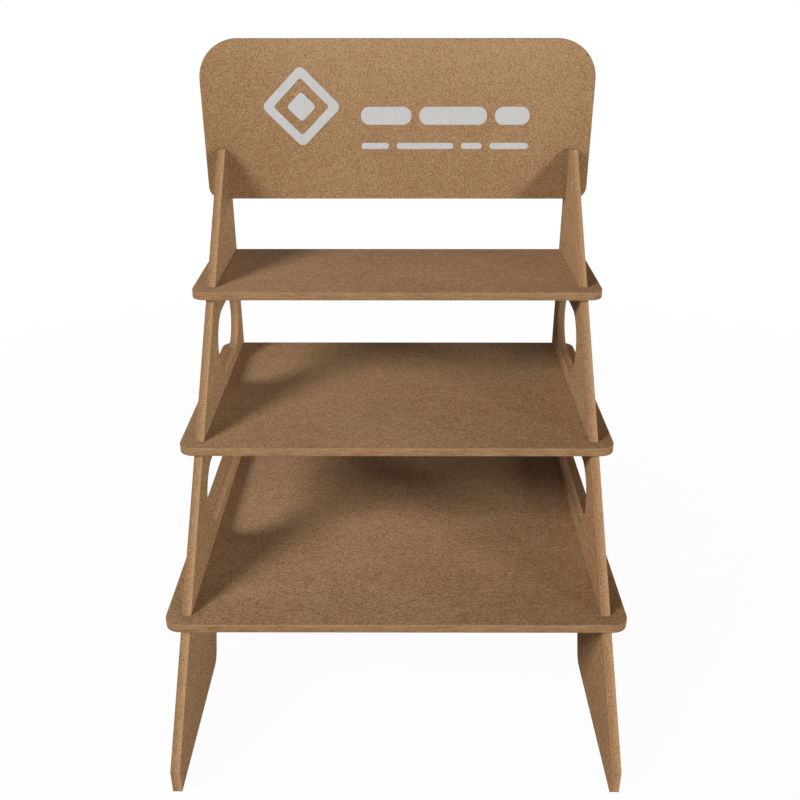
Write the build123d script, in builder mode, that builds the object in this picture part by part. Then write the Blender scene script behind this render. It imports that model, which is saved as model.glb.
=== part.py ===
from build123d import *

import os

# Slot-together display stand for a table top.
# Two side panels carry three stepped shelves and a header board. All six pieces are cut flat
# from one sheet, and half-lap slots hold them together with no glue and no screws.
# Millimetres. X runs across the stand, -Y is its front and +Z is up. The origin is on the table,
# midway between the side panels and midway between their front and back edges.

# Sheet and fits
sheet = 9.0  # thickness of every board
slot_play = 0.3  # width of a slot beyond the sheet that goes into it
lap_gap = 0.3  # length left free where two slots meet end to end

# Side panels
inner_width = 400.0  # between the two panels
panel_depth = 500.0  # front to back, on the table
panel_height = 500.0
nose_height = 25.0  # upright front edge below the slope
crown_depth = 25.0  # level top edge behind the slope

# Arch between the feet of a side panel
front_foot = 180.0  # length along the table, to where the arch would start with a sharp corner
rear_foot = 180.0
arch_height = 60.0
arch_lean = 30.0  # how far each side of the arch leans in over its height
foot_round = 15.0
arch_round = 20.0

# Windows in a side panel, one between each two shelves
window_height = 75.0
window_sill = 15.0  # from a shelf's top face up to the window
window_back_margin = 28.0  # from the panel's back edge
window_front_margin = 63.0  # from the slope, at half the window's height

# Shelves
shelf_width = 450.0
shelf_lip = 13.0  # how far the top face stands out in front of the slope
top_shelf_lip = 15.5
shelf_inset = 3.0  # from the back edge of the side panels to the back edge of a shelf
shelf_round = 15.0
first_level = 125.0  # height of the lowest top face
level_step = 125.0

# Header board
header_width = 448.5
header_height = 179.0
header_drop = 59.0  # how far it hangs down below the crown
header_setback = 8.0  # from the front end of the crown
header_upper_round = 44.0
header_lower_round = 14.0

# Places that follow from the sizes
front = -panel_depth / 2
back = panel_depth / 2
crown_front = back - crown_depth
panel_middle = (inner_width + sheet) / 2
slot_width = sheet + slot_play
slope_run = (crown_front - front) / (panel_height - nose_height)
shelf_back = back - shelf_inset
lower_level = first_level
middle_level = lower_level + level_step
top_level = middle_level + level_step
header_bottom = panel_height - header_drop
header_middle = crown_front + header_setback + sheet / 2
header_lap = panel_height - header_drop / 2


def slope_at(height):
    """Y of the sloping front edge of the side panels at a height."""
    return front + (height - nose_height) * slope_run


def lap_at(level):
    """Y of the middle of the joint between a shelf and the side panels."""
    return (slope_at(level) + shelf_back) / 2


def side_panel(inner_face, outward):
    """A side panel whose inner face is at X = inner_face, with its thickness going outward."""
    with BuildPart() as panel:
        with BuildSketch(Plane.YZ.offset(inner_face)):
            with BuildLine():
                Polyline(
                    (front, 0),
                    (front, nose_height),
                    (crown_front, panel_height),
                    (back, panel_height),
                    (back, 0),
                    (back - rear_foot, 0),
                    (back - rear_foot - arch_lean, arch_height),
                    (front + front_foot + arch_lean, arch_height),
                    (front + front_foot, 0),
                    close=True,
                )
            make_face()
            foot_corners = vertices().group_by(Axis.Y)[0].sort_by(Axis.X)[1:3]
            fillet(foot_corners, radius=foot_round)
            arch_corners = vertices().filter_by_position(Axis.Y, arch_height, arch_height)
            fillet(arch_corners, radius=arch_round)

            # Windows
            for level in (lower_level, middle_level):
                middle = level + window_sill + window_height / 2
                window_front = slope_at(middle) + window_front_margin
                window_back = back - window_back_margin
                with Locations(((window_front + window_back) / 2, middle)):
                    SlotOverall(window_back - window_front, window_height, mode=Mode.SUBTRACT)

            # Notches for the shelves, open at the slope
            for level in (lower_level, middle_level, top_level):
                with Locations((lap_at(level) + lap_gap / 2, level - sheet)):
                    Rectangle(
                        panel_depth,
                        slot_width,
                        align=(Align.MAX, Align.MIN),
                        mode=Mode.SUBTRACT,
                    )

            # Slot for the header board, open at the crown
            with Locations((header_middle, header_lap)):
                Rectangle(
                    slot_width,
                    header_drop,
                    align=(Align.CENTER, Align.MIN),
                    mode=Mode.SUBTRACT,
                )
        extrude(amount=sheet * outward)
    return panel


def shelf(level, lip):
    """A shelf with its top face at a level and two slots open at its back edge."""
    shelf_front = slope_at(level) - lip
    with BuildPart() as board:
        with BuildSketch(Plane.XY.offset(level - sheet)):
            with Locations((0, (shelf_front + shelf_back) / 2)):
                RectangleRounded(shelf_width, shelf_back - shelf_front, shelf_round)
            with Locations((-panel_middle, shelf_back), (panel_middle, shelf_back)):
                Rectangle(
                    slot_width,
                    shelf_back - lap_at(level) + lap_gap / 2,
                    align=(Align.CENTER, Align.MAX),
                    mode=Mode.SUBTRACT,
                )
        extrude(amount=sheet)
    return board


def header():
    """The header board, with two slots open at its lower edge."""
    with BuildPart() as board:
        with BuildSketch(Plane.XZ.offset(-header_middle)):
            with Locations((0, header_bottom)):
                Rectangle(header_width, header_height, align=(Align.CENTER, Align.MIN))
            fillet(vertices().group_by(Axis.Y)[0], radius=header_lower_round)
            fillet(vertices().group_by(Axis.Y)[-1], radius=header_upper_round)
            with Locations((-panel_middle, header_bottom), (panel_middle, header_bottom)):
                Rectangle(
                    slot_width,
                    header_lap - header_bottom,
                    align=(Align.CENTER, Align.MIN),
                    mode=Mode.SUBTRACT,
                )
        extrude(amount=sheet / 2, both=True)
    return board


boards = {
    "side_panel_left": side_panel(-inner_width / 2, -1),
    "side_panel_right": side_panel(inner_width / 2, 1),
    "lower_shelf": shelf(lower_level, shelf_lip),
    "middle_shelf": shelf(middle_level, shelf_lip),
    "top_shelf": shelf(top_level, top_shelf_lip),
    "header_board": header(),
}

os.makedirs("parts", exist_ok=True)
for name, board in boards.items():
    board.part.label = name
    export_step(board.part, f"parts/{name}.step")
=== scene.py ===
import math

import bmesh
import bpy
from mathutils import Matrix, Vector


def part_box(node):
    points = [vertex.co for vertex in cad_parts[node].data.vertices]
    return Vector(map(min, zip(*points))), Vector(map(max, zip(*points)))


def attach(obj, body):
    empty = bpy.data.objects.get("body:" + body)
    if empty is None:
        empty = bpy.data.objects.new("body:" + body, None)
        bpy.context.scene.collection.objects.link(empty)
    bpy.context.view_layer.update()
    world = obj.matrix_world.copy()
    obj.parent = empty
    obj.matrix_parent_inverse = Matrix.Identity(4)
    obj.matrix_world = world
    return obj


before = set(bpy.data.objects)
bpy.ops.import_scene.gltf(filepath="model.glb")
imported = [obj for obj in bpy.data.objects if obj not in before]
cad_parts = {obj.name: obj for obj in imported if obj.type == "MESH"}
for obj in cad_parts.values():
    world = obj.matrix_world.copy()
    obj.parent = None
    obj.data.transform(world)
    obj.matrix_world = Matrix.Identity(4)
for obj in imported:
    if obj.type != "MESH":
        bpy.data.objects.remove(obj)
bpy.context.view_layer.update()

MM = 0.001
AXES = "XYZ"
EVEN = (1, 1, 1)

# Looks of the six boards, whose tints, tones and spots follow the photograph
# axis: the axis of the board's thickness
# pale_side: the end of that axis towards which a cut edge is paler
# pale_weight: how much paler it is there
# streaks: how far a cut edge is streaked instead of sandy, from 0 to 1
# grain: weights of the patterns on the faces
# tone: the middle shade of the faces, from 0 for dark to 1 for light
# tint and edge_tint: factors on the colours of the faces and of the cut edges
# the spots are painted light and shade on the faces, each a soft pale spot made by the function
# for one spot, or a dark one of painted shade where its weight is below 0
PANEL = {
    "axis": "X",
    "pale_side": "high",
    "pale_weight": 0.85,
    "streaks": 0.25,
    "grain": {"dust": 1.5, "sand": 1.65, "short fibres": 0.9, "long fibres": 0.9, "curls": 0.6},
    "tone": 0.5,
}
SHELF = {
    "axis": "Z",
    "pale_side": "high",
    "pale_weight": 0.2,
    "streaks": 1.0,
    "grain": {"dust": 1.1, "sand": 0.12, "short fibres": 0.2, "long fibres": 0.2, "curls": 0.22},
    "tone": 0.5,
}
HEADER = {
    "axis": "Y",
    "pale_side": "low",
    "pale_weight": 0.2,
    "streaks": 1.0,
    "grain": {"dust": 2.0, "sand": 0.65, "short fibres": 0.6, "long fibres": 0.6, "curls": 0.45},
    "tone": 0.33,
}
BOARDS = {
    "side_panel_left": {
        **PANEL,
        "tint": (1.105, 1.155, 1.19),
        "edge_tint": (1.08, 1.125, 1.16),
        "painted_light_spots": [{"at": (0, -0.1, 0.3), "reach": 0.5, "weight": 0.35}],
    },
    "side_panel_right": {
        **PANEL,
        "tone": 0.35,
        "tint": (1.12, 1.14, 1.16),
        "edge_tint": (1.12, 1.14, 1.16),
        "painted_light_spots": [
            {"at": (0, 0.1, 0.4), "reach": 0.5, "weight": 0.3},
            {"at": (0.2, -0.15, 0.0), "reach": 0.2, "weight": -0.3},
        ],
    },
    "lower_shelf": {
        **SHELF,
        "tint": (1.022, 1.072, 1.132),
        "edge_tint": (0.93, 0.948, 0.956),
        "painted_light_spots": [
            {"at": (-0.25, 0.0, 0.125), "reach": 0.5, "weight": 0.35},
            {"at": (0.0, 0.25, 0.125), "reach": 0.35, "weight": 0.2},
        ],
    },
    "middle_shelf": {
        **SHELF,
        "tint": (1.0, 1.03, 1.055),
        "edge_tint": (0.955, 0.985, 1.0),
        "painted_light_spots": [{"at": (-0.25, 0.05, 0.25), "reach": 0.5, "weight": 0.35}],
    },
    "top_shelf": {
        **SHELF,
        "tint": (1.05, 1.075, 1.1),
        "edge_tint": (0.95, 0.985, 1.0),
        "painted_light_spots": [{"at": (-0.25, 0.1, 0.375), "reach": 0.5, "weight": 0.35}],
    },
    "header_board": {
        **HEADER,
        "tint": (1.03, 1.062, 1.085),
        "edge_tint": (1.0, 1.0, 1.0),
        "painted_light_spots": [
            {
                "at": (0.0, 0.23, 0.64),
                "reach": 0.14,
                "weight": 0.54,
                "stretch": (0.23, 1, 1),
                "steepness": 2,
            },
            {"at": (-0.25, 0.23, 0.54), "reach": 0.2, "weight": -0.45},
            {"at": (0.22, 0.23, 0.44), "reach": 0.12, "weight": -0.3},
        ],
    },
}

# How the coarse and the fine patterns of a face lie, by the axis of the thickness: the smaller
# the number, the longer the grain along that axis
LAY = {
    "X": ((1, 0.5, 1), (1, 0.25, 1)),
    "Y": (EVEN, EVEN),
    "Z": ((0.55, 1, 1), (0.33, 0.85, 1)),
}

# Patterns of the boards, with scales in cells or waves to the metre
DUST_SCALE = 1800
SAND = {"scale": 750, "detail": 2, "roughness": 0.75}
SHORT_FIBRES = {"spacing": 1.5 * MM, "length": 2.4 * MM, "width": 0.7 * MM}
LONG_FIBRES = {"spacing": 4.2 * MM, "length": 5.5 * MM, "width": 0.9 * MM}
CURLS = {"scale": 190, "detail": 3, "roughness": 0.6, "distortion": 1.5}
MOTTLE = {"scale": 60, "detail": 3, "roughness": 0.6}
CLOUDS = {"scale": 8, "detail": 2, "roughness": 0.5}

# Streaks of a cut edge, whose scales lie in their stretch along and across the sheet
STREAKS = {"scale": 1, "detail": 3, "roughness": 0.65, "distortion": 0.3}
STREAKS_ALONG = 45
STREAKS_ACROSS = 900

# How far a fibre strays from straight, and the scale of the noise that bends it
FIBRE_BEND = 1.2 * MM
FIBRE_BEND_SCALE = 260

# Where a fibre starts and where it is full, from 0 at its middle to 1 at its rim
FIBRE_FADE = (1.0, 0.35)

# The value about which every pattern swings
MIDDLE = 0.5

# How far the patterns move from one board to the next, and their way along each axis
PATTERN_STEP = 3.7
PATTERN_WAY = (1, 1.7, 2.3)

# Weights of the patterns that all faces share
FACE_WEIGHTS = {"mottle": 0.5, "clouds": 0.65}

# Weights of the patterns on a sandy cut edge and on a streaked one
SANDY_EDGE = {"streaks": 0.0, "sand": 1.8, "dust": 1.1, "mottle": 0.3}
STREAKED_EDGE = {"streaks": 2.3, "sand": 0.8, "dust": 0.4, "mottle": 0.3}

# Limits of face, cut edge and pale arris, which is partly worn and partly a painted highlight,
# by how far the surface faces along the thickness:
# 0 on a cut edge and 1 on a face
FACE_TO_EDGE = (0.75, 0.35)
EDGE_TO_ARRIS = (0.12, 0.4)
FACE_TO_ARRIS = (0.995, 0.92)

# Wear of the arrises, together with a painted highlight on them, and the values of the mottle
# between which it rises
ARRIS_WEAR_AND_HIGHLIGHT = (0.25, 0.7)
ARRIS_WEAR_AND_HIGHLIGHT_MOTTLE = (0.3, 0.6)

# Colours, as linear values: the darker, the redder
FACE_LIGHT = (0.442, 0.272, 0.147)
FACE_DARK = (0.2205, 0.113, 0.0475)
EDGE_LIGHT = (0.43, 0.258, 0.136)
EDGE_DARK = (0.228, 0.114, 0.049)
# Pale arris colour, partly wear and partly a painted highlight
PALE_ARRIS_AND_HIGHLIGHT = (0.50, 0.31, 0.17)

# Shine and relief of the boards
BOARD_ROUGHNESS = 0.88
BOARD_ROUGHNESS_WEIGHTS = {"dust": 0.1, "mottle": 0.3}
BOARD_SPECULAR = 0.03
BOARD_RELIEF_WEIGHTS = {"sand": 1.0, "long fibres": 0.6}
BOARD_RELIEF = {"strength": 0.35, "distance": 0.25 * MM}

# Rounding of every arris, once the mesh is welded and its flat faces are joined
WELD_REACH = 0.01 * MM
FLAT_ANGLE = math.radians(0.5)
ARRIS_ANGLE = math.radians(35)
ARRIS_WIDTH = 0.45 * MM
ARRIS_SEGMENTS = 3
SHARP_ANGLE = math.radians(40)

# Printed mark on the header: a diamond badge beside two rows of plain bars. Its places are
# across and up from the stand's origin.
MARK_THICKNESS = 0.5 * MM
MARK_SINK = 0.1 * MM  # how far its back lies inside the board
BADGE_MIDDLE = (-110 * MM, 547 * MM)
DIAMOND_HALF = 46 * MM  # from the middle of the badge to a corner
DIAMOND_LINE = 10 * MM
DIAMOND_ROUND = 7 * MM
DIAMOND_INNER_ROUND = 3 * MM
CORE_HALF = 17 * MM  # the same for the small diamond inside
CORE_ROUND = 4 * MM
ROWS_START = -42 * MM
BAR_GAP = 9 * MM
BAR_ROUND = 0.48  # radius of a bar's corners, as a share of its height
CORNER_STEPS = 8

# Height of each row, height of its bars and their lengths
ROWS = (
    (537 * MM, 20 * MM, (58 * MM, 78 * MM, 40 * MM)),
    (503 * MM, 7 * MM, (32 * MM, 66 * MM, 24 * MM, 45 * MM)),
)

# Print of the mark, whose tone and wear follow a noise that stands for the fibres under it
PRINT_LIGHT = (0.585, 0.58, 0.572)
PRINT_DARK = (0.455, 0.45, 0.438)
PRINT_DUST_SCALE = 1300
PRINT_FIBRES = {"scale": 330, "detail": 4, "roughness": 0.65, "distortion": 1.2}
PRINT_WEIGHTS = {"dust": 0.5, "fibres": 1.1, "mottle": 0.6}
PRINT_WEAR = (0.0, 0.35)
PRINT_WEAR_FIBRES = (0.3, 0.22)
PRINT_ROUGHNESS = (0.5, 0.7)
PRINT_ROUGHNESS_MOTTLE = (0.2, 0.8)
PRINT_SPECULAR = 0.3
PRINT_RELIEF = {"strength": 0.2, "distance": 0.15 * MM}

# Floor, which goes from nearly white to white between two distances from its middle
FLOOR_SIZE = 12
FLOOR_COLOUR = (0.55, 0.55, 0.55)
FLOOR_ROUGHNESS = 0.9
FLOOR_SPECULAR = 0.1
FLOOR_WHITE_NEAR = 0.965
FLOOR_FADE = (0.45, 1.5)

# Camera of the photograph, from a fit to the board edges, in metres and degrees
CAMERA_PLACE = (0.0060, -0.8793, 0.7145)
CAMERA_PITCH = 25.932
CAMERA_YAW = -0.169
CAMERA_ROLL = -0.035
FOCAL_PIXELS = 937.41
PHOTO_SIDE = 800
SENSOR = 36.0

# Lamps: azimuth from the front towards +X, elevation, distance, width and power, in degrees,
# metres and watts
LAMP_TARGET = (0, 0, 0.33)
LAMPS = {
    "key": (-59, 31, 4.0, 1.5, 136),
    "fill": (50, 7, 4.0, 0.7, 88),
    "front": (6, 35, 2.5, 0.45, 8.5),
    "rear": (184, 12, 2.5, 0.5, 12),
    "side": (126, 4, 2.5, 0.7, 13),
    "top": (8, 82, 2.5, 1.0, 2.3),
}
WORLD_LIGHT = 0.005

# Sockets of a Mix node that are for colours, as its names are the same for every kind of value
MIX_INPUTS = (6, 7)
MIX_OUTPUT = 2


# Objects and node trees

def add_object(name, data):
    thing = bpy.data.objects.new(name, data)
    bpy.context.scene.collection.objects.link(thing)
    return thing


def add_mesh(name, mesh):
    """An object that takes over a bmesh."""
    data = bpy.data.meshes.new(name)
    mesh.to_mesh(data)
    mesh.free()
    return add_object(name, data)


def new_material(name):
    material = bpy.data.materials.new(name)
    material.use_nodes = True
    tree = material.node_tree
    return material, tree, tree.nodes["Principled BSDF"]


def add_node(tree, kind, **settings):
    node = tree.nodes.new(kind)
    for name, value in settings.items():
        setattr(node, name, value)
    return node


def plug(tree, socket, value):
    """Links an output to a socket, or writes a plain value on it."""
    if isinstance(value, bpy.types.NodeSocket):
        tree.links.new(value, socket)
    else:
        socket.default_value = value


def maths(tree, operation, first, second=0.0, clamp=False):
    node = add_node(tree, "ShaderNodeMath", operation=operation, use_clamp=clamp)
    plug(tree, node.inputs[0], first)
    plug(tree, node.inputs[1], second)
    return node.outputs[0]


def vector_maths(tree, operation, *values):
    """A vector, or a number where the operation is LENGTH."""
    node = add_node(tree, "ShaderNodeVectorMath", operation=operation)
    for socket, value in zip(node.inputs, values):
        plug(tree, socket, value)
    return node.outputs["Value" if operation == "LENGTH" else "Vector"]


def by_axis(tree, vector):
    """The three numbers of a vector, each under the name of its axis."""
    node = add_node(tree, "ShaderNodeSeparateXYZ")
    plug(tree, node.inputs[0], vector)
    return node.outputs


def channels(tree, colour):
    node = add_node(tree, "ShaderNodeSeparateColor")
    plug(tree, node.inputs[0], colour)
    return node.outputs


def remap(tree, value, low, high, to_low=0.0, to_high=1.0):
    node = add_node(tree, "ShaderNodeMapRange", clamp=True)
    for name, given in (
        ("Value", value),
        ("From Min", low),
        ("From Max", high),
        ("To Min", to_low),
        ("To Max", to_high),
    ):
        plug(tree, node.inputs[name], given)
    return node.outputs["Result"]


def blend(tree, factor, first, second):
    node = add_node(tree, "ShaderNodeMix", data_type="RGBA")
    plug(tree, node.inputs[0], factor)
    for socket, colour in zip(MIX_INPUTS, (first, second)):
        plug(tree, node.inputs[socket], (*colour, 1) if isinstance(colour, tuple) else colour)
    return node.outputs[MIX_OUTPUT]


def emboss(tree, shader, height, strength, distance):
    """Lets the surface seem to rise and fall with a height."""
    bump = add_node(tree, "ShaderNodeBump")
    bump.inputs["Strength"].default_value = strength
    bump.inputs["Distance"].default_value = distance
    plug(tree, bump.inputs["Height"], height)
    plug(tree, shader.inputs["Normal"], bump.outputs["Normal"])


# Patterns

def stretched(tree, place, scale, shift):
    node = add_node(tree, "ShaderNodeMapping")
    plug(tree, node.inputs["Vector"], place)
    node.inputs["Location"].default_value = [shift * way for way in PATTERN_WAY]
    node.inputs["Scale"].default_value = scale
    return node.outputs["Vector"]


def noise(tree, place, scale, detail=2.0, roughness=0.5, distortion=0.0, output="Fac"):
    node = add_node(tree, "ShaderNodeTexNoise")
    plug(tree, node.inputs["Vector"], place)
    node.inputs["Scale"].default_value = scale
    node.inputs["Detail"].default_value = detail
    node.inputs["Roughness"].default_value = roughness
    node.inputs["Distortion"].default_value = distortion
    return node.outputs[output]


def grains(tree, place, scale):
    """A random value for each small cell."""
    node = add_node(tree, "ShaderNodeTexVoronoi", feature="F1")
    plug(tree, node.inputs["Vector"], place)
    node.inputs["Scale"].default_value = scale
    return channels(tree, node.outputs["Color"])[0]


def fibres(tree, sheet, spacing, length, width):
    """Single fibres, one to a cell and each turned its own way, with MIDDLE where none lies."""
    cell = add_node(tree, "ShaderNodeTexVoronoi", voronoi_dimensions="2D", feature="F1")
    plug(tree, cell.inputs["Vector"], sheet)
    cell.inputs["Scale"].default_value = 1 / spacing
    turn_chance, tone_chance, _ = channels(tree, cell.outputs["Color"])
    turned = add_node(tree, "ShaderNodeVectorRotate", rotation_type="Z_AXIS")
    away = vector_maths(tree, "SUBTRACT", sheet, cell.outputs["Position"])
    plug(tree, turned.inputs["Vector"], away)
    plug(tree, turned.inputs["Angle"], maths(tree, "MULTIPLY", turn_chance, math.pi))
    squeeze = (2 / length, 2 / width, 0)
    squeezed = vector_maths(tree, "MULTIPLY", turned.outputs["Vector"], squeeze)
    there = remap(tree, vector_maths(tree, "LENGTH", squeezed), *FIBRE_FADE)
    swing = maths(tree, "MULTIPLY", there, maths(tree, "SUBTRACT", tone_chance, MIDDLE))
    return maths(tree, "ADD", swing, MIDDLE)


def painted_light_spot(tree, place, at, reach, weight, stretch=EVEN, steepness=1):
    """A layer of painted light, or of painted shade where its weight is below 0, that is 1 at
    the spot and falls to 0 at its reach, with its weight.
    """
    away = vector_maths(tree, "SUBTRACT", place, at)
    distance = vector_maths(tree, "LENGTH", vector_maths(tree, "MULTIPLY", away, stretch))
    near = remap(tree, distance, 0.0, reach, 1.0, 0.0)
    return maths(tree, "POWER", near, steepness), weight


def layers(patterns, weights):
    """The patterns that have a weight, each as a layer with its weight."""
    return [(patterns[name], weight) for name, weight in weights.items()]


def weighted(tree, given, middle=MIDDLE):
    """The middle plus the swing about MIDDLE of each given layer, times its weight."""
    total = middle
    for value, weight in given:
        swing = maths(tree, "SUBTRACT", value, MIDDLE)
        total = maths(tree, "ADD", maths(tree, "MULTIPLY", swing, weight), total)
    return total


# Fibreboard

def sheet_plane(tree, points, place, lay, axis, shift):
    """Places in the plane of the sheet, with a wobble that bends the fibres."""
    wobble = noise(tree, place, FIBRE_BEND_SCALE, output="Color")
    bend = (FIBRE_BEND, FIBRE_BEND, FIBRE_BEND)
    bent = by_axis(tree, vector_maths(tree, "MULTIPLY_ADD", wobble, bend, points))
    across = [name for name in AXES if name != axis]
    sheet = add_node(tree, "ShaderNodeCombineXYZ")
    for socket, name in zip(sheet.inputs, across):
        plug(tree, socket, bent[name])
    sheet_lay = (*(lay[AXES.index(name)] for name in across), 1)
    return stretched(tree, sheet.outputs["Vector"], sheet_lay, shift)


def board_patterns(tree, points, axis, shift):
    """Every pattern of a board, under its name."""
    lay, fine_lay = LAY[axis]
    place = stretched(tree, points, lay, shift)
    fine_place = stretched(tree, points, fine_lay, shift)
    sheet = sheet_plane(tree, points, place, lay, axis, shift)
    edge_lay = [STREAKS_ACROSS if name == axis else STREAKS_ALONG for name in AXES]
    return {
        "dust": grains(tree, fine_place, DUST_SCALE),
        "sand": noise(tree, fine_place, **SAND),
        "short fibres": fibres(tree, sheet, **SHORT_FIBRES),
        "long fibres": fibres(tree, sheet, **LONG_FIBRES),
        "curls": noise(tree, place, **CURLS),
        "mottle": noise(tree, place, **MOTTLE),
        "clouds": noise(tree, place, **CLOUDS),
        "streaks": noise(tree, stretched(tree, points, edge_lay, shift), **STREAKS),
    }


def tinted(colour, tint):
    return tuple(channel * share for channel, share in zip(colour, tint))


def face_colour(tree, board, points, patterns):
    given = layers(patterns, {**board["grain"], **FACE_WEIGHTS})
    # Soft spots of painted light and shade that lighten or darken the faces
    given += [painted_light_spot(tree, points, **spot) for spot in board["painted_light_spots"]]
    tone = weighted(tree, given, board["tone"])
    tint = board["tint"]
    return blend(tree, tone, tinted(FACE_DARK, tint), tinted(FACE_LIGHT, tint))


def edge_colour(tree, board, paleness, patterns):
    weights = {
        name: sandy + (STREAKED_EDGE[name] - sandy) * board["streaks"]
        for name, sandy in SANDY_EDGE.items()
    }
    tone = weighted(tree, [(paleness, board["pale_weight"]), *layers(patterns, weights)])
    tint = board["edge_tint"]
    return blend(tree, tone, tinted(EDGE_DARK, tint), tinted(EDGE_LIGHT, tint))


def fibreboard(node, number):
    """Fibrous faces with soft spots of painted light and shade, streaked or sandy cut edges and
    pale arrises, partly rubbed and partly a painted highlight, for one board.
    """
    board = BOARDS[node]
    axis = board["axis"]
    low, high = (corner[AXES.index(axis)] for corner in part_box(node))
    material, tree, shader = new_material("fibreboard_" + node)
    source = add_node(tree, "ShaderNodeTexCoord")
    points = source.outputs["Object"]
    patterns = board_patterns(tree, points, axis, PATTERN_STEP * number)

    ends = (low, high) if board["pale_side"] == "high" else (high, low)
    paleness = remap(tree, by_axis(tree, points)[axis], *ends)
    face = face_colour(tree, board, points, patterns)
    edge = edge_colour(tree, board, paleness, patterns)

    flatness = maths(tree, "ABSOLUTE", by_axis(tree, source.outputs["Normal"])[axis])
    colour = blend(tree, remap(tree, flatness, *FACE_TO_EDGE), face, edge)
    from_edge = remap(tree, flatness, *EDGE_TO_ARRIS)
    from_face = remap(tree, flatness, *FACE_TO_ARRIS)
    on_arris = maths(tree, "MULTIPLY", from_edge, from_face)
    # The arrises grow paler, partly from wear and partly as a painted highlight
    rubbed_and_highlit = remap(tree, patterns["mottle"], *ARRIS_WEAR_AND_HIGHLIGHT_MOTTLE, *ARRIS_WEAR_AND_HIGHLIGHT)
    wear_and_highlight = maths(tree, "MULTIPLY", on_arris, rubbed_and_highlit)
    plug(tree, shader.inputs["Base Color"], blend(tree, wear_and_highlight, colour, PALE_ARRIS_AND_HIGHLIGHT))

    rough = weighted(tree, layers(patterns, BOARD_ROUGHNESS_WEIGHTS))
    rough = maths(tree, "ADD", rough, BOARD_ROUGHNESS - MIDDLE, clamp=True)
    plug(tree, shader.inputs["Roughness"], rough)
    shader.inputs["Specular IOR Level"].default_value = BOARD_SPECULAR
    relief = weighted(tree, layers(patterns, BOARD_RELIEF_WEIGHTS))
    emboss(tree, shader, relief, **BOARD_RELIEF)
    return material


def smooth_by_angle():
    """A node group that shades smooth, except across edges sharper than SHARP_ANGLE."""
    group = bpy.data.node_groups.new("smooth_by_angle", "GeometryNodeTree")
    group.interface.new_socket("Geometry", in_out="INPUT", socket_type="NodeSocketGeometry")
    group.interface.new_socket("Geometry", in_out="OUTPUT", socket_type="NodeSocketGeometry")
    start = add_node(group, "NodeGroupInput")
    finish = add_node(group, "NodeGroupOutput")
    faces = add_node(group, "GeometryNodeSetShadeSmooth", domain="FACE")
    edges = add_node(group, "GeometryNodeSetShadeSmooth", domain="EDGE")
    edges.inputs["Shade Smooth"].default_value = False
    angle = add_node(group, "GeometryNodeInputMeshEdgeAngle")
    sharp = add_node(group, "FunctionNodeCompare", operation="GREATER_THAN")
    plug(group, sharp.inputs[0], angle.outputs["Unsigned Angle"])
    sharp.inputs[1].default_value = SHARP_ANGLE
    plug(group, faces.inputs["Geometry"], start.outputs[0])
    plug(group, edges.inputs["Geometry"], faces.outputs["Geometry"])
    plug(group, edges.inputs["Selection"], sharp.outputs[0])
    plug(group, finish.inputs[0], edges.outputs["Geometry"])
    return group


def round_arrises(piece, smoothing):
    """Rounds the board's arrises with modifiers, so the mesh itself stays as it is."""
    weld = piece.modifiers.new("weld", "WELD")
    weld.merge_threshold = WELD_REACH
    flat = piece.modifiers.new("flat", "DECIMATE")
    flat.decimate_type = "DISSOLVE"
    flat.angle_limit = FLAT_ANGLE
    bevel = piece.modifiers.new("arris", "BEVEL")
    bevel.width = ARRIS_WIDTH
    bevel.segments = ARRIS_SEGMENTS
    bevel.limit_method = "ANGLE"
    bevel.angle_limit = ARRIS_ANGLE
    shade = piece.modifiers.new("shade", "NODES")
    shade.node_group = smoothing
    weighted_normals = piece.modifiers.new("normals", "WEIGHTED_NORMAL")
    weighted_normals.keep_sharp = True


def finish_boards():
    smoothing = smooth_by_angle()
    for number, name in enumerate(BOARDS):
        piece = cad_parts[name]
        piece.data.materials.clear()
        piece.data.materials.append(fibreboard(name, number))
        round_arrises(piece, smoothing)


# Printed mark

def rounded(corners, radius):
    """The outline through these corners, with each turn as an arc of this radius."""
    outline = []
    count = len(corners)
    for i, corner in enumerate(corners):
        here = Vector(corner)
        back = (Vector(corners[i - 1]) - here).normalized()
        ahead = (Vector(corners[(i + 1) % count]) - here).normalized()
        half = back.angle(ahead) / 2
        centre = here + (back + ahead).normalized() * (radius / math.sin(half))
        start = here + back * (radius / math.tan(half)) - centre
        turn = math.pi - 2 * half
        for step in range(CORNER_STEPS + 1):
            spin = Matrix.Rotation(turn * step / CORNER_STEPS, 2)
            outline.append(centre + spin @ start)
    return outline


def diamond(half, radius):
    x, z = BADGE_MIDDLE
    return rounded([(x + half, z), (x, z + half), (x - half, z), (x, z - half)], radius)


def bar(start, middle, length, height):
    low, high = middle - height / 2, middle + height / 2
    end = start + length
    return rounded([(end, low), (end, high), (start, high), (start, low)], height * BAR_ROUND)


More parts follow.
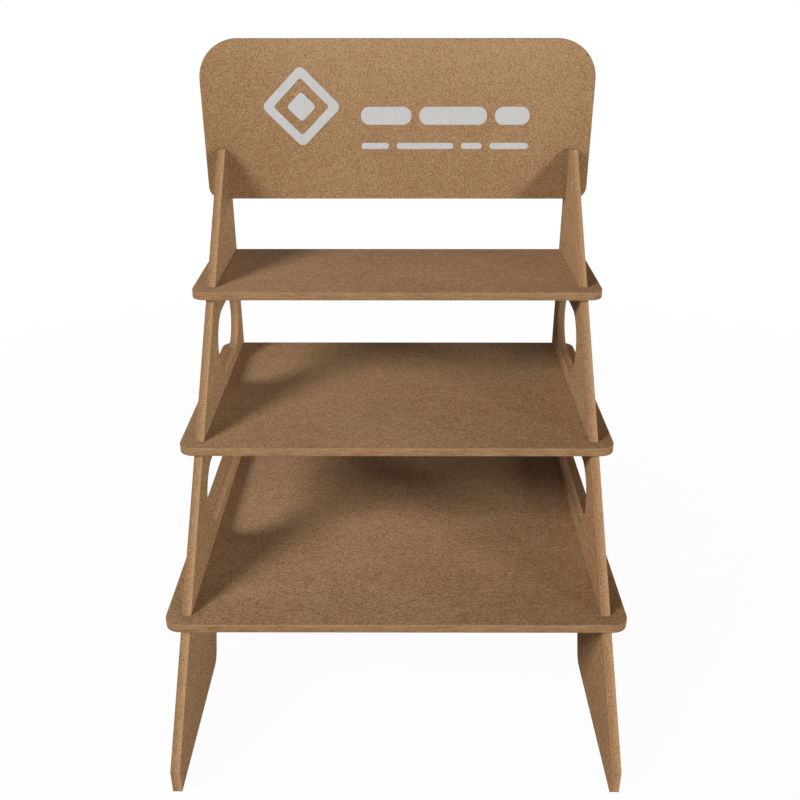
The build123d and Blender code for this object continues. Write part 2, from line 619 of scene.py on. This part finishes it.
def make_mark():
    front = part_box("header_board")[0].y
    mesh = bmesh.new()

    def ring(outline, lift):
        return [mesh.verts.new((p.x, front - lift, p.y)) for p in outline]

    def base_and_top(outline):
        return ring(outline, -MARK_SINK), ring(outline, MARK_THICKNESS)

    def wall(first, second):
        for i in range(len(first)):
            j = (i + 1) % len(first)
            mesh.faces.new((first[i], first[j], second[j], second[i]))

    def plate(outline):
        base, top = base_and_top(outline)
        wall(base, top)
        mesh.faces.new(top)
        mesh.faces.new(list(reversed(base)))

    def open_plate(outer, inner):
        outer_base, outer_top = base_and_top(outer)
        inner_base, inner_top = base_and_top(inner)
        wall(outer_base, outer_top)
        wall(outer_top, inner_top)
        wall(inner_top, inner_base)
        wall(inner_base, outer_base)

    inner_half = DIAMOND_HALF - DIAMOND_LINE * math.sqrt(2)
    open_plate(diamond(DIAMOND_HALF, DIAMOND_ROUND), diamond(inner_half, DIAMOND_INNER_ROUND))
    plate(diamond(CORE_HALF, CORE_ROUND))
    for middle, height, lengths in ROWS:
        start = ROWS_START
        for length in lengths:
            plate(bar(start, middle, length, height))
            start += length + BAR_GAP
    bmesh.ops.recalc_face_normals(mesh, faces=mesh.faces)
    mark = add_mesh("header_mark", mesh)
    mark.data.materials.append(print_material())
    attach(mark, "root")


def print_material():
    """Pale screen print, a little worn where the fibres show through."""
    material, tree, shader = new_material("pale_print")
    place = add_node(tree, "ShaderNodeTexCoord").outputs["Object"]
    fibre = noise(tree, place, **PRINT_FIBRES)
    mottle = noise(tree, place, **MOTTLE)
    dust = grains(tree, place, PRINT_DUST_SCALE)
    patterns = {"dust": dust, "fibres": fibre, "mottle": mottle}
    tone = weighted(tree, layers(patterns, PRINT_WEIGHTS))
    colour = blend(tree, tone, PRINT_DARK, PRINT_LIGHT)
    worn = remap(tree, fibre, *PRINT_WEAR_FIBRES, *PRINT_WEAR)
    plug(tree, shader.inputs["Base Color"], blend(tree, worn, colour, FACE_LIGHT))
    rough = remap(tree, mottle, *PRINT_ROUGHNESS_MOTTLE, *PRINT_ROUGHNESS)
    plug(tree, shader.inputs["Roughness"], rough)
    shader.inputs["Specular IOR Level"].default_value = PRINT_SPECULAR
    emboss(tree, shader, fibre, **PRINT_RELIEF)
    return material


# Stage

def seen_directly(tree):
    """1 for rays from the camera, and for those that a shiny or clear surface sends on."""
    path = add_node(tree, "ShaderNodeLightPath").outputs
    seen = maths(tree, "ADD", path["Is Camera Ray"], path["Is Glossy Ray"], clamp=True)
    return maths(tree, "ADD", seen, path["Is Transmission Ray"], clamp=True)


def make_floor():
    mesh = bmesh.new()
    bmesh.ops.create_grid(mesh, x_segments=1, y_segments=1, size=FLOOR_SIZE / 2)
    floor = add_mesh("floor", mesh)

    material, tree, shader = new_material("floor")
    shader.inputs["Base Color"].default_value = (*FLOOR_COLOUR, 1)
    shader.inputs["Roughness"].default_value = FLOOR_ROUGHNESS
    shader.inputs["Specular IOR Level"].default_value = FLOOR_SPECULAR
    white = add_node(tree, "ShaderNodeEmission")
    place = add_node(tree, "ShaderNodeTexCoord").outputs["Object"]
    distance = vector_maths(tree, "LENGTH", place)
    share = remap(tree, distance, *FLOOR_FADE, FLOOR_WHITE_NEAR, 1.0)
    mix = add_node(tree, "ShaderNodeMixShader")
    plug(tree, mix.inputs[0], maths(tree, "MULTIPLY", share, seen_directly(tree)))
    plug(tree, mix.inputs[1], shader.outputs["BSDF"])
    plug(tree, mix.inputs[2], white.outputs["Emission"])
    plug(tree, tree.nodes["Material Output"].inputs["Surface"], mix.outputs["Shader"])
    floor.data.materials.append(material)


def make_world():
    world = bpy.data.worlds.new("world")
    bpy.context.scene.world = world
    world.use_nodes = True
    tree = world.node_tree
    background = tree.nodes["Background"]
    background.inputs["Color"].default_value = (1, 1, 1, 1)
    strength = remap(tree, seen_directly(tree), 0.0, 1.0, WORLD_LIGHT, 1.0)
    plug(tree, background.inputs["Strength"], strength)


def make_lamps():
    target = Vector(LAMP_TARGET)
    for name, (azimuth, elevation, distance, width, power) in LAMPS.items():
        a, e = math.radians(azimuth), math.radians(elevation)
        away = Vector((math.sin(a) * math.cos(e), -math.cos(a) * math.cos(e), math.sin(e)))
        data = bpy.data.lights.new(name, "AREA")
        data.shape = "DISK"
        data.size = width
        data.energy = power
        lamp = add_object(name, data)
        lamp.location = target + away * distance
        lamp.rotation_euler = (-away).to_track_quat("-Z", "Y").to_euler()
        lamp.visible_camera = False


def make_camera():
    data = bpy.data.cameras.new("camera")
    data.sensor_width = SENSOR
    data.lens = FOCAL_PIXELS / PHOTO_SIDE * SENSOR
    camera = add_object("camera", data)
    turn = Matrix.Rotation(math.radians(-CAMERA_YAW), 4, "Z")
    tilt = Matrix.Rotation(math.radians(90 - CAMERA_PITCH), 4, "X")
    roll = Matrix.Rotation(math.radians(CAMERA_ROLL), 4, "Z")
    camera.matrix_world = Matrix.Translation(CAMERA_PLACE) @ turn @ tilt @ roll
    bpy.context.scene.camera = camera


make_camera()
finish_boards()
make_mark()
make_floor()
make_world()
make_lamps()
bpy.context.scene.view_settings.view_transform = "Standard"
